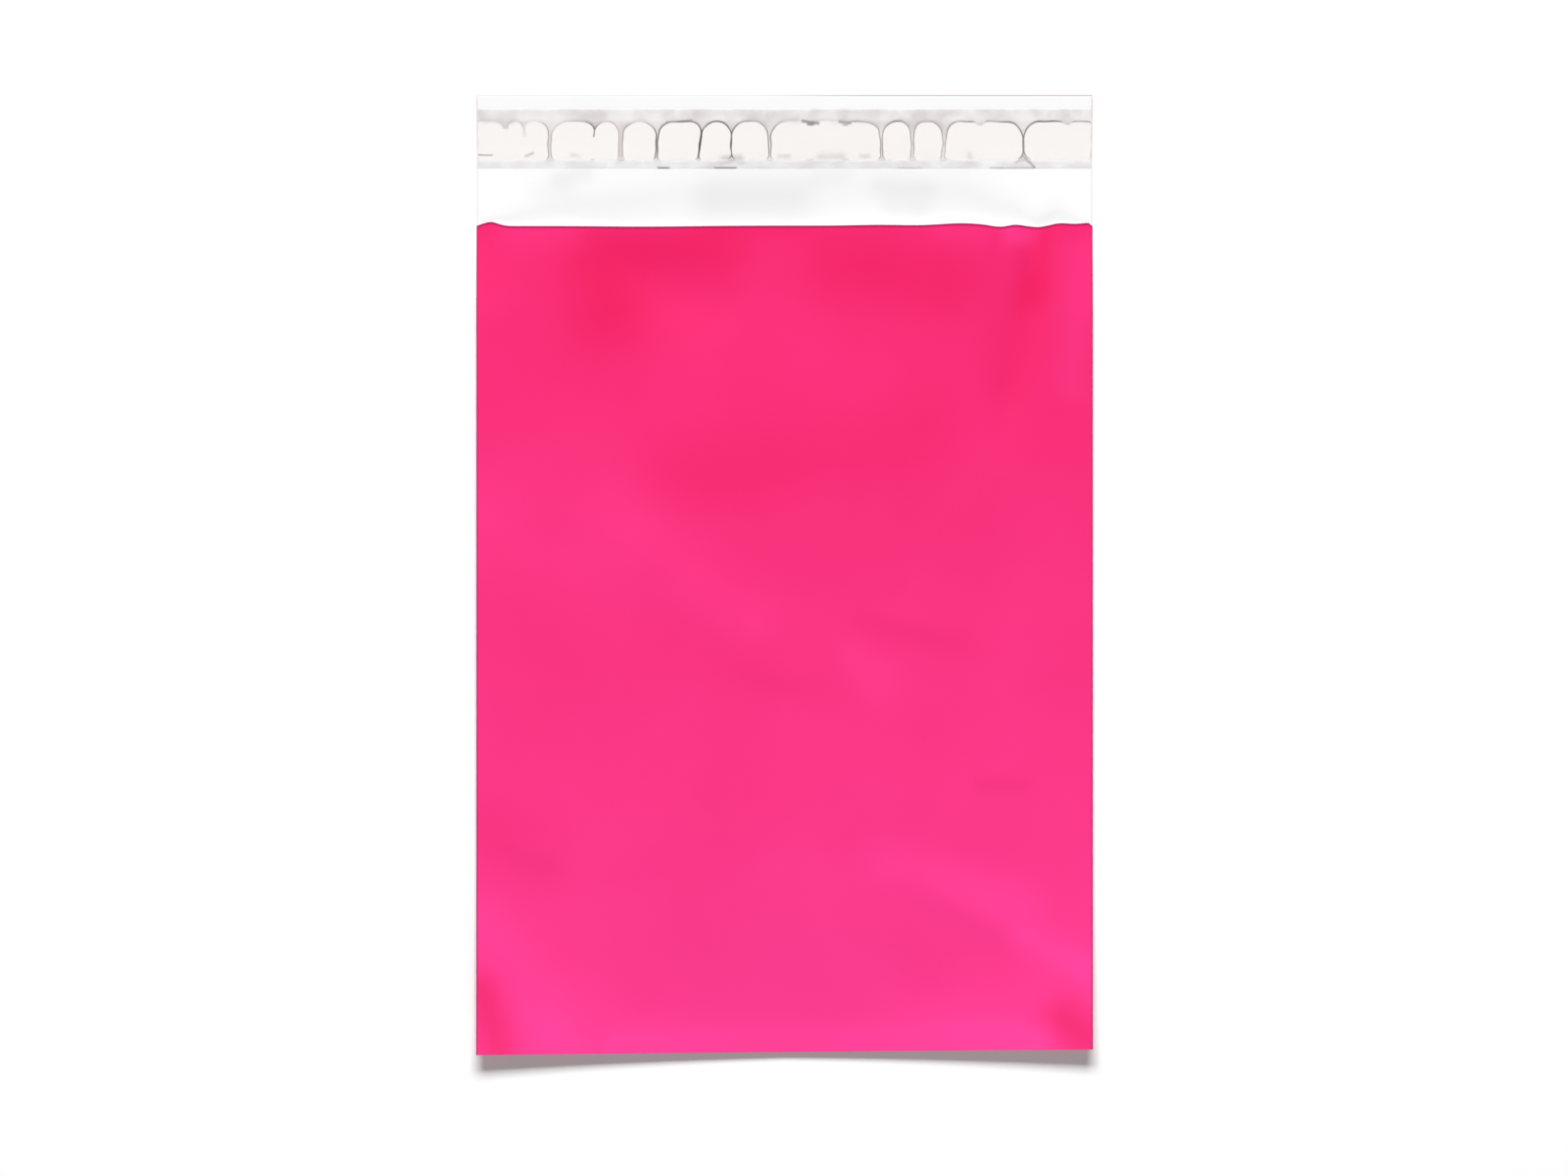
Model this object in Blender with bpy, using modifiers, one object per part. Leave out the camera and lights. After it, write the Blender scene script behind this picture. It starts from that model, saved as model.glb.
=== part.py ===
"""Poly mailer bag, empty and unsealed, lying on its back with the flap open.

The film body is one web of co-extruded polyethylene, pink outside and white inside. It is folded once at the
bottom, welded to itself down both sides, and its back panel runs on above the mouth as the sealing flap. A band
of adhesive lies across the flap's white face, under a clear release liner that has let go in narrow tunnels.

Metres, +Z up. X runs across the mailer and Y along it, towards the flap. The origin is at the middle of the
mailer's footprint, on the surface that it lies on.
"""

import math

import bmesh
import bpy
from mathutils import Vector

# Film body: the pouch's length is that of its longer left side, as the bottom fold climbs a little to the right
POUCH_WIDTH = 0.2286
POUCH_LENGTH = 0.3077
FOLD_SKEW = 0.0021
FLAP_LENGTH = 0.0487
FILM = 0.0000635
FOLD_GAP = 0.00006
WELD_WIDTH = 0.0018
WELD_BEAD = 0.0001

# How the empty pouch lies: trapped air lifts the front panel, and the seams stand off the table
PUFF = 0.0090
PUFF_RISE = 0.045
PUFF_ROUNDNESS = 2.3
MOUTH_SETTLE = 0.18
MOUTH_SETTLE_RUN = 0.090
SEAM_LIFT = 0.0019
SEAM_REACH = 0.038
CORNER_LIFT = 0.0045
CORNER_REACH_ACROSS = 0.150
CORNER_REACH_ALONG = 0.075
FLAP_LIFT = 0.0010
FLAP_REACH = 0.030

# Closure strip across the flap
STRIP_INSET = 0.0004
LINER_SETBACK = 0.0051
LINER_WIDTH = 0.0220
LINER_FILM = 0.00005
LINER_TOP_MARGIN = 0.0045
ADHESIVE_WIDTH = 0.0145
ADHESIVE_FILM = 0.00008
SEAT_GAP = 0.00005

# Tunnels of the liner between the cells where it still sticks
TUNNEL_HEIGHT = 0.0008
TUNNEL_WIDTH = 0.0018
MARGIN_HEIGHT = 0.0005
ARCH_RADIUS = 0.0046

# The tunnels from left to right: (place at the cells' tops and at their feet, as shares of the half-width, and how
# much of the cells' height the tunnel runs down)
TUNNELS = (
    (-0.906, -0.910, 0.25),
    (-0.849, -0.840, 0.40),
    (-0.763, -0.763, 1.00),
    (-0.617, -0.624, 0.42),
    (-0.532, -0.532, 1.00),
    (-0.414, -0.416, 1.00),
    (-0.266, -0.280, 1.00),
    (-0.173, -0.173, 1.00),
    (-0.048, -0.048, 1.00),
    (0.083, 0.083, 0.20),
    (0.196, 0.196, 0.20),
    (0.316, 0.316, 1.00),
    (0.415, 0.415, 1.00),
    (0.519, 0.516, 1.00),
    (0.617, 0.617, 0.20),
    (0.775, 0.777, 1.00),
    (0.913, 0.913, 0.20),
)

# A tunnel's section from its crest out to its foot: (share of the half-width, share of the height)
TUNNEL_SECTION = {"crest": (0.0, 1.0), "shoulder": (0.45, 0.75), "foot": (1.0, 0.0)}

# Soft folds of the front panel: (start, end, height, width). A point is (share of the half-width, share of the
# pouch's length above the bottom fold). The height is a share of the puff's, negative for a valley, and the width
# a share of the pouch's.
PANEL_FOLDS = (
    ((-1.02, 0.190), (-0.60, -0.020), 0.14, 0.031),
    ((0.34, 0.235), (1.06, 0.080), 0.14, 0.035),
    ((0.83, 1.080), (0.70, 0.700), -0.15, 0.033),
    ((0.93, 1.080), (0.88, 0.770), 0.14, 0.024),
    ((-0.92, 0.720), (0.00, 0.490), 0.08, 0.061),
    ((-0.66, 0.980), (-0.13, 0.880), -0.09, 0.057),
)

# Waves of the cut mouth edge: (share of the half-width, rise as a share of the puff's height, forward and width as
# shares of the pouch's width)
MOUTH_WAVES = (
    (-0.945, 0.00, 0.0079, 0.026),
    (-0.440, -0.08, -0.0013, 0.109),
    (0.315, 0.08, 0.0013, 0.057),
    (0.640, 0.11, 0.0026, 0.033),
    (0.790, -0.10, -0.0017, 0.033),
    (0.935, 0.13, 0.0031, 0.031),
)
MOUTH_WAVE_RUN = 0.030
WELD_HOLD = 0.005

# Fineness of the meshes
PANEL_ROWS = 30
CLEAR_COLUMNS = 30
FOLD_STEPS = 6
ARCH_ROWS = 3

# Places that follow from the sizes above
HALF_WIDTH = POUCH_WIDTH / 2
CLEAR_HALF_WIDTH = HALF_WIDTH - WELD_WIDTH
LAYER_SPACING = FILM + FOLD_GAP
FOLD_RADIUS = LAYER_SPACING / 2
TOP_Y = (POUCH_LENGTH + FLAP_LENGTH) / 2
MOUTH_Y = TOP_Y - FLAP_LENGTH
FOLD_Y = FOLD_RADIUS + FILM / 2 - TOP_Y
LINER_TOP_Y = TOP_Y - LINER_SETBACK
LINER_BOTTOM_Y = LINER_TOP_Y - LINER_WIDTH
ADHESIVE_TOP_Y = LINER_TOP_Y - LINER_TOP_MARGIN
ADHESIVE_BOTTOM_Y = ADHESIVE_TOP_Y - ADHESIVE_WIDTH
STRIP_HALF_LENGTH = HALF_WIDTH - STRIP_INSET


def ease(share):
    """0 below 0, 1 above 1, and smooth between."""
    share = min(1.0, max(0.0, share))
    return share * share * (3 - 2 * share)


def curl(distance, reach):
    """1 at an edge, curving down to 0 at its reach."""
    return max(0.0, 1 - distance / reach) ** 2


def bell(offset, width):
    """1 at the middle of a wave or fold, dying away over its width."""
    return math.exp(-((offset / width) ** 2))


def spread(start, end, steps):
    """Stations from start to end, a little closer together towards both ends."""
    middle = (start + end) / 2
    half = (end - start) / 2
    shares = [2 * step / steps - 1 for step in range(steps + 1)]
    return [middle + half * (0.6 * share + 0.4 * math.sin(math.pi / 2 * share)) for share in shares]


def flap_height(y):
    """Curl of the flap's free edge. It is the same all across, so that the closure strip lies true on it."""
    return FLAP_LIFT * curl(max(0.0, TOP_Y - y), FLAP_REACH)


def fold_line(x):
    """Where the slightly skewed bottom fold runs at this place across the mailer."""
    return FOLD_Y + FOLD_SKEW * (x + HALF_WIDTH) / POUCH_WIDTH


def back_height(x, y):
    """Height of the underside of the back panel and flap above the surface that the mailer lies on."""
    from_weld = max(0.0, CLEAR_HALF_WIDTH - abs(x))
    from_fold = max(0.0, y - fold_line(x))
    side = curl(from_weld, SEAM_REACH) * ease((MOUTH_Y - y) / SEAM_REACH)
    bottom = curl(from_fold, SEAM_REACH)
    seams = 1 - (1 - side) * (1 - bottom)
    corner = curl(from_weld, CORNER_REACH_ACROSS) * curl(from_fold, CORNER_REACH_ALONG)
    return SEAM_LIFT * seams + CORNER_LIFT * corner + flap_height(y)


def panel_fold_height(x, y, start, end, height, width):
    """Height of one soft fold, as a share of the puff's. It fades out towards both its ends."""
    start_x = start[0] * HALF_WIDTH
    start_y = FOLD_Y + start[1] * POUCH_LENGTH
    run_x = (end[0] - start[0]) * HALF_WIDTH
    run_y = (end[1] - start[1]) * POUCH_LENGTH
    length = math.hypot(run_x, run_y)
    along = ((x - start_x) * run_x + (y - start_y) * run_y) / length**2
    across = ((x - start_x) * run_y - (y - start_y) * run_x) / length
    return height * max(0.0, 4 * along * (1 - along)) * bell(across, width * POUCH_WIDTH)


def mouth_reach(y):
    """How strongly the mouth's waves are felt at this distance below it."""
    return math.exp((y - MOUTH_Y) / MOUTH_WAVE_RUN)


def wave_strength(x, share, width):
    """How strongly one of the mouth's waves is felt at this place across the mailer."""
    return bell(x - share * HALF_WIDTH, width * POUCH_WIDTH)


def puff_height(x, y):
    """Free height between the two panels. It is zero at the welds and at the bottom fold."""
    across = 1 - min(1.0, abs(x) / CLEAR_HALF_WIDTH) ** PUFF_ROUNDNESS
    along = 1 - math.exp(-max(0.0, y - fold_line(x)) / PUFF_RISE)
    settle = 1 - MOUTH_SETTLE * ease(1 - (MOUTH_Y - y) / MOUTH_SETTLE_RUN)
    folds = sum(panel_fold_height(x, y, *fold) for fold in PANEL_FOLDS)
    waves = sum(rise * wave_strength(x, share, width) for share, rise, _, width in MOUTH_WAVES)
    detail = min(1.0, 2.5 * across) * along * (folds + mouth_reach(y) * waves)
    return PUFF * max(0.0, across * along * settle + detail)


def mouth_forward(x, y):
    """How far the front panel's waves carry a point towards the flap. The welds hold their ends in place."""
    hold = ease((CLEAR_HALF_WIDTH - abs(x)) / WELD_HOLD)
    waves = sum(forward * wave_strength(x, share, width) for share, _, forward, width in MOUTH_WAVES)
    return hold * mouth_reach(y) * waves * POUCH_WIDTH


def panel_place(x, share):
    """Where a panel's row crosses this place, from the bottom fold (share 0) up to the mouth (share 1)."""
    return fold_line(x) + (MOUTH_Y - fold_line(x)) * share


def front_point(x, share):
    """A point of the front panel's middle surface."""
    y = panel_place(x, share)
    return x, y + mouth_forward(x, y), back_height(x, y) + puff_height(x, y) + FILM / 2 + LAYER_SPACING


def back_point(x, y):
    """A point of the middle surface of the back panel or flap."""
    return x, y, back_height(x, y) + FILM / 2


def fold_point(x, share):
    """A point on the bottom fold, from the front panel's end (share 0) round to the back panel's (share 1)."""
    angle = math.pi * (0.5 + share)
    y = fold_line(x)
    middle = back_height(x, y) + FILM / 2 + FOLD_RADIUS
    return x, y + FOLD_RADIUS * math.cos(angle), middle + FOLD_RADIUS * math.sin(angle)


def weld_point(x, share):
    """A point half-way between the two panels along their edge."""
    y = panel_place(x, share)
    return x, y, back_height(x, y) + FILM / 2 + FOLD_RADIUS


def web_columns():
    """Stations across the film, with one step for each weld."""
    return [-HALF_WIDTH, *spread(-CLEAR_HALF_WIDTH, CLEAR_HALF_WIDTH, CLEAR_COLUMNS), HALF_WIDTH]


def panel_stations():
    """Stations from the bottom fold (0) up to the mouth (1). Both panels and the welds share them."""
    return spread(0.0, 1.0, PANEL_ROWS)


def strip_stations():
    """Stations along the liner's width. Flap, adhesive and liner share them, so that they lie true."""
    turns = [math.pi / 2 * step / ARCH_ROWS for step in range(ARCH_ROWS + 1)]
    arch = [ADHESIVE_TOP_Y - ARCH_RADIUS * (1 - math.sin(turn)) for turn in turns]
    return [LINER_BOTTOM_Y, ADHESIVE_BOTTOM_Y, (ADHESIVE_BOTTOM_Y + arch[0]) / 2, *arch, LINER_TOP_Y]


def flap_stations():
    """Stations along the flap above the mouth."""
    bare = LINER_BOTTOM_Y - MOUTH_Y
    return [MOUTH_Y + bare / 3, MOUTH_Y + bare * 2 / 3, *strip_stations(), TOP_Y]


def web_rows():
    """The rows of the film web, from the mouth down the front, round the fold and up the back to the flap's end."""
    panel = panel_stations()[1:]
    rows = [lambda x, share=share: front_point(x, share) for share in reversed(panel)]
    rows += [lambda x, share=step / FOLD_STEPS: fold_point(x, share) for step in range(FOLD_STEPS + 1)]
    rows += [lambda x, share=share: back_point(x, panel_place(x, share)) for share in panel]
    rows += [lambda x, y=y: back_point(x, y) for y in flap_stations()]
    return rows


def make_sheet(name, columns, rows, collection):
    """An open sheet: a grid with the given columns, whose rows are functions from a column to a point."""
    grid = bmesh.new()
    bmesh.ops.create_grid(grid, x_segments=len(columns) - 1, y_segments=len(rows) - 1, size=1)
    for vertex in grid.verts:
        column = round((vertex.co.x + 1) / 2 * (len(columns) - 1))
        row = round((1 - vertex.co.y) / 2 * (len(rows) - 1))
        vertex.co = rows[row](columns[column])
    mesh = bpy.data.meshes.new(name)
    grid.to_mesh(mesh)
    grid.free()
    mesh.shade_smooth()
    sheet = bpy.data.objects.new(name, mesh)
    collection.objects.link(sheet)
    return sheet


def thicken(sheet, thickness):
    """Gives an open sheet its real thickness about its middle, with the next material slot on its far side."""
    solid = sheet.modifiers.new("thickness", "SOLIDIFY")
    solid.thickness = thickness
    solid.offset = 0
    solid.use_even_offset = True
    solid.material_offset = 1


def make_plastic(name, colour, roughness, alpha=1.0):
    """A film's plain material."""
    material = bpy.data.materials.new(name)
    material.use_nodes = True
    shader = material.node_tree.nodes["Principled BSDF"]
    shader.inputs["Base Color"].default_value = (*colour, 1)
    shader.inputs["Roughness"].default_value = roughness
    shader.inputs["Metallic"].default_value = 0
    shader.inputs["Alpha"].default_value = alpha
    return material


def make_weld(name, side, collection):
    """The melted film that fills the gap between the two panels along one edge, with its small bead."""
    edges = sorted((side * CLEAR_HALF_WIDTH, side * (HALF_WIDTH + WELD_BEAD)))
    rows = [lambda x, share=share: weld_point(x, share) for share in reversed(panel_stations())]
    rows.append(lambda x: tuple(Vector(weld_point(x, 0.0)) - Vector((0.0, FOLD_RADIUS, 0.0))))
    weld = make_sheet(name, edges, rows, collection)
    thicken(weld, LAYER_SPACING)
    weld.hide_render = True
    weld.display_type = "WIRE"
    return weld


def make_pouch(collection, helpers):
    """The film web with its bottom fold, joined down both sides by the welds."""
    pouch = make_sheet("pouch", web_columns(), web_rows(), collection)
    pouch.data.materials.append(make_plastic("pink_outer_film", (0.956, 0.036, 0.228), 0.42))
    pouch.data.materials.append(make_plastic("white_inner_film", (0.900, 0.900, 0.905), 0.45))
    thicken(pouch, FILM)
    for name, side in (("left_weld", -1), ("right_weld", 1)):
        union = pouch.modifiers.new(name, "BOOLEAN")
        union.operation = "UNION"
        union.solver = "EXACT"
        union.object = make_weld(name, side, helpers)


def make_adhesive(collection):
    """The adhesive band, seated on the flap's white face."""
    seat = FILM + SEAT_GAP + ADHESIVE_FILM / 2
    stations = [y for y in strip_stations() if ADHESIVE_BOTTOM_Y <= y <= ADHESIVE_TOP_Y]
    rows = [lambda x, y=y: (x, y, flap_height(y) + seat) for y in reversed(stations)]
    adhesive = make_sheet("adhesive_strip", [-STRIP_HALF_LENGTH, STRIP_HALF_LENGTH], rows, collection)
    adhesive.data.materials.append(make_plastic("hot_melt_adhesive", (0.86, 0.83, 0.80), 0.30))
    thicken(adhesive, ADHESIVE_FILM)


def liner_columns():
    """The liner's columns, as (its own tunnel, the cell's other tunnel, point of the tunnel's section). The strip's
    two ends stand in as tunnels that do not run down at all."""
    end = STRIP_HALF_LENGTH / HALF_WIDTH
    tunnels = [(-end, -end, 0.0), *TUNNELS, (end, end, 0.0)]
    columns = []
    for left, right in zip(tunnels, tunnels[1:]):
        columns += [(left, right, point) for point in ("crest", "shoulder", "foot")]
        columns += [(right, left, point) for point in ("foot", "shoulder")]
    columns.append((right, left, "crest"))
    return columns


def arch_inset(y):
    """How far a cell's side has turned in, where it rounds over at the top."""
    up = min(1.0, max(0.0, (y - ADHESIVE_TOP_Y) / ARCH_RADIUS + 1))
    return ARCH_RADIUS * (1 - math.sqrt(1 - up * up))


def tunnel_place(tunnel, height_share):
    """Where a tunnel runs at this share of the cells' height."""
    top, bottom, _ = tunnel
    return HALF_WIDTH * (bottom + (top - bottom) * height_share)


def liner_point(column, y):
    """A point of the liner's middle surface: down on the adhesive in a cell, up in a tunnel or a margin."""
    tunnel, other, point = column
    out, up = TUNNEL_SECTION[point]
    height_share = min(1.0, max(0.0, (y - ADHESIVE_BOTTOM_Y) / ADHESIVE_WIDTH))
    place = tunnel_place(tunnel, height_share)
    to_cell = (tunnel_place(other, height_share) - place) / 2
    foot = min(TUNNEL_WIDTH / 2 + arch_inset(y), 0.8 * abs(to_cell))
    lift = TUNNEL_HEIGHT * up if height_share > 1 - tunnel[2] or tunnel[2] == 1 else 0.0
    if y < ADHESIVE_BOTTOM_Y or y > ADHESIVE_TOP_Y:
        foot = TUNNEL_WIDTH / 2
        lift = MARGIN_HEIGHT
    seat = FILM + ADHESIVE_FILM + 2 * SEAT_GAP + LINER_FILM / 2
    return place + math.copysign(foot * out, to_cell), y, flap_height(y) + seat + lift


def make_liner(collection):
    """The release liner: a thin clear film that touches the adhesive only in its cells."""
    rows = [lambda column, y=y: liner_point(column, y) for y in reversed(strip_stations())]
    liner = make_sheet("release_liner", liner_columns(), rows, collection)
    liner.data.materials.append(make_plastic("clear_liner_film", (0.93, 0.92, 0.91), 0.22, alpha=0.35))
    thicken(liner, LINER_FILM)


def clear_scene():
    for existing in list(bpy.data.objects):
        bpy.data.objects.remove(existing)


def make_collection(name):
    collection = bpy.data.collections.new(name)
    bpy.context.scene.collection.children.link(collection)
    return collection


def main():
    clear_scene()
    mailer = make_collection("poly_mailer_bag")
    helpers = make_collection("helpers")
    make_pouch(mailer, helpers)
    make_adhesive(mailer)
    make_liner(mailer)


main()
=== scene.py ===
"""Poly mailer bag: the looks of the empty pink mailer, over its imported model."""

import math
import typing

import bmesh
import bpy
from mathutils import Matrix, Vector, noise


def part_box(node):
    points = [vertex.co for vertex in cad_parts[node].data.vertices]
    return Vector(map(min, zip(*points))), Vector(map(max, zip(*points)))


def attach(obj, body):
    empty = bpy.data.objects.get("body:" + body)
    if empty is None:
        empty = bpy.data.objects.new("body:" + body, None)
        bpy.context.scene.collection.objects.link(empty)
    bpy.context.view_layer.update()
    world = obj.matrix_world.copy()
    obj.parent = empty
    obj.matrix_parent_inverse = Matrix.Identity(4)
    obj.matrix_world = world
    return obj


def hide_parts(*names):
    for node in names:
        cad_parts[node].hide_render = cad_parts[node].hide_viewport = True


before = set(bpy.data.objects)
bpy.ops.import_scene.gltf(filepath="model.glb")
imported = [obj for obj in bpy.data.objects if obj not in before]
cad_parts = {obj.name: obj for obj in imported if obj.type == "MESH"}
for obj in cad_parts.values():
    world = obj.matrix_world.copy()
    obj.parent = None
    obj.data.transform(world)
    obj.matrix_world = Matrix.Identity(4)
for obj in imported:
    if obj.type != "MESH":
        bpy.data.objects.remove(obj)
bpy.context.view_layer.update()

# Camera
# The mailer is seen from straight above, with its flap at the top of the picture. The view takes in
# 1600 x 1200 pixels at 0.364 mm a pixel, and the mailer's middle lies a little above the picture's.
PICTURE_WIDTH = 1600
METRES_PER_PIXEL = 0.000364
CAMERA_DISTANCE = 5.0
VIEW_CENTRE = (-0.0002, -0.0049)
SENSOR_WIDTH = 36

camera_data = bpy.data.cameras.new("camera")
camera_data.sensor_width = SENSOR_WIDTH
camera_data.lens = SENSOR_WIDTH * CAMERA_DISTANCE / (PICTURE_WIDTH * METRES_PER_PIXEL)
camera = bpy.data.objects.new("camera", camera_data)
camera.location = (*VIEW_CENTRE, CAMERA_DISTANCE)
bpy.context.scene.collection.objects.link(camera)
bpy.context.scene.camera = camera

# Light
# A large key lamp stands beyond the flap, low enough to throw a short soft shadow past the bottom fold. A
# fill lamp low on the near side opens up the slopes that face the bottom, and the white room the rest.
KEY_ELEVATION = 42
KEY_DISTANCE = 4.2
KEY_ASIDE = -0.15
KEY_WIDTH = 2.6
KEY_HEIGHT = 1.3
KEY_WATTS = 254
FILL_PLACE = (0.3, -3.0, 1.0)
FILL_WIDTH = 2.4
FILL_HEIGHT = 0.9
FILL_WATTS = 38
WORLD_STRENGTH = 0.10


def add_lamp(name, place, width, height, watts):
    """A rectangular area lamp that faces the mailer."""
    lamp = bpy.data.lights.new(name, "AREA")
    lamp.shape = "RECTANGLE"
    lamp.size = width
    lamp.size_y = height
    lamp.energy = watts
    lamp_object = bpy.data.objects.new(name, lamp)
    lamp_object.location = place
    lamp_object.rotation_euler = Vector(place).to_track_quat("Z", "Y").to_euler()
    bpy.context.scene.collection.objects.link(lamp_object)


def add_math(tree, operation, *values):
    """A math node whose inputs are plain numbers or the outputs of other nodes. Returns its output."""
    node = tree.nodes.new("ShaderNodeMath")
    node.operation = operation
    for socket, value in zip(node.inputs, values):
        if isinstance(value, bpy.types.NodeSocket):
            tree.links.new(value, socket)
        else:
            socket.default_value = value
    return node.outputs[0]


key_angle = math.radians(KEY_ELEVATION)
key_place = (KEY_ASIDE, KEY_DISTANCE * math.cos(key_angle), KEY_DISTANCE * math.sin(key_angle))
add_lamp("key", key_place, KEY_WIDTH, KEY_HEIGHT, KEY_WATTS)
add_lamp("fill", FILL_PLACE, FILL_WIDTH, FILL_HEIGHT, FILL_WATTS)

room = bpy.data.worlds.new("white_room")
room.use_nodes = True
bpy.context.scene.world = room
room_tree = room.node_tree
background = room_tree.nodes["Background"]
background.inputs["Color"].default_value = (1, 1, 1, 1)
ray = room_tree.nodes.new("ShaderNodeLightPath").outputs
seen = add_math(room_tree, "MAXIMUM", ray["Is Camera Ray"], ray["Is Transmission Ray"])
strength = room_tree.nodes.new("ShaderNodeMix")
strength.inputs["A"].default_value = WORLD_STRENGTH
strength.inputs["B"].default_value = 1
room_tree.links.new(seen, strength.inputs["Factor"])
room_tree.links.new(strength.outputs["Result"], background.inputs["Strength"])
bpy.context.scene.view_settings.view_transform = "Standard"

# Floor
# The mailer lies on a plain white table top. The camera sees it a touch brighter than its light alone makes
# it, so that only the shadow on it is grey.
FLOOR_SIZE = 6
FLOOR_COLOUR = (0.87, 0.87, 0.87)
FLOOR_GLOW = 0.10


def add_shader(material_name):
    """A new material, with its node tree and its Principled shader."""
    material = bpy.data.materials.new(material_name)
    material.use_nodes = True
    return material, material.node_tree, material.node_tree.nodes["Principled BSDF"]


def finish_mesh(shape, name):
    """Turns a finished bmesh into an object at the origin, shaded smooth."""
    mesh = bpy.data.meshes.new(name)
    shape.to_mesh(mesh)
    shape.free()
    mesh.shade_smooth()
    piece = bpy.data.objects.new(name, mesh)
    bpy.context.scene.collection.objects.link(piece)
    return piece


table = bmesh.new()
bmesh.ops.create_grid(table, x_segments=1, y_segments=1, size=FLOOR_SIZE / 2)
floor = finish_mesh(table, "table_top")
floor_material, floor_tree, floor_shader = add_shader("white_table")
floor_shader.inputs["Base Color"].default_value = (*FLOOR_COLOUR, 1)
floor_shader.inputs["Roughness"].default_value = 1
floor_shader.inputs["Specular IOR Level"].default_value = 0
floor_shader.inputs["Emission Color"].default_value = (1, 1, 1, 1)
ray = floor_tree.nodes.new("ShaderNodeLightPath").outputs
floor_glow = add_math(floor_tree, "MULTIPLY", ray["Is Camera Ray"], FLOOR_GLOW)
floor_tree.links.new(floor_glow, floor_shader.inputs["Emission Strength"])
floor.data.materials.append(floor_material)

# Film body
# One web of co-extruded polyethylene, pink outside and white inside. It is folded at the bottom, welded
# down both sides and left long behind as the flap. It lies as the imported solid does, with the finer waves
# of real film.

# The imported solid's own sizes in metres. The puff's roundness is the power that shapes its section, and its
# settle the share of its height that is lost towards the mouth.
FILM = 0.0000635
FOLD_GAP = 0.00006
WELD_WIDTH = 0.0018
WELD_BEAD = 0.0001
FLAP_LENGTH = 0.0487
FOLD_SKEW = 0.0021
PUFF = 0.0090
PUFF_RISE = 0.045
PUFF_ROUNDNESS = 2.3
MOUTH_SETTLE = 0.18
MOUTH_SETTLE_RUN = 0.090
SEAM_LIFT = 0.0019
SEAM_REACH = 0.038
CORNER_LIFT = 0.0045
CORNER_REACH_ACROSS = 0.150
CORNER_REACH_ALONG = 0.075
FLAP_LIFT = 0.0010
FLAP_REACH = 0.030
MOUTH_WAVE_RUN = 0.030

# Close to the welds the waves carry no point forward, and their height and that of the folds grow in from
# nothing
WELD_HOLD = 0.0012
DETAIL_RISE = 2.5

# Soft folds of the front panel: (start, end, height, width). A point is (share of the half-width, share of
# the length above the bottom fold). Heights are shares of the puff's and widths of the pouch's. The last
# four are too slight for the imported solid.
PANEL_FOLDS = (
    ((-1.02, 0.190), (-0.60, -0.020), 0.14, 0.031),
    ((0.34, 0.235), (1.06, 0.080), 0.14, 0.035),
    ((0.83, 1.080), (0.70, 0.700), -0.15, 0.033),
    ((0.93, 1.080), (0.88, 0.770), 0.14, 0.024),
    ((-0.92, 0.720), (0.00, 0.490), 0.08, 0.061),
    ((-0.66, 0.980), (-0.13, 0.880), -0.09, 0.057),
    ((0.60, 0.332), (0.82, 0.328), 0.022, 0.012),
    ((0.24, 0.535), (0.60, 0.500), 0.026, 0.016),
    ((-0.20, 0.475), (0.14, 0.445), 0.026, 0.022),
    ((-1.02, 0.275), (-0.70, 0.225), 0.040, 0.022),
)

# Waves of the cut mouth edge: (share of the half-width, rise, forward, width), the rise as a share of the
# puff's height, and the others of the pouch's width
MOUTH_WAVES = (
    (-0.955, 0.00, 0.0068, 0.017),
    (-0.440, -0.08, -0.0013, 0.109),
    (0.315, 0.08, 0.0013, 0.057),
    (0.575, 0.10, 0.0040, 0.050),
    (0.695, -0.05, -0.0022, 0.018),
    (0.750, 0.04, 0.0021, 0.014),
    (0.825, -0.10, -0.0018, 0.016),
    (0.900, 0.06, 0.0045, 0.022),
    (0.985, 0.06, 0.0050, 0.022),
)

# Fine waves that the film keeps everywhere: their height as a share of the puff's, their lengths across and
# along the mailer, and which set of chance waves they are
RIPPLE_SHARE = 0.03
RIPPLE_LENGTHS = (0.030, 0.045)
RIPPLE_SEED = 0.3

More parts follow.
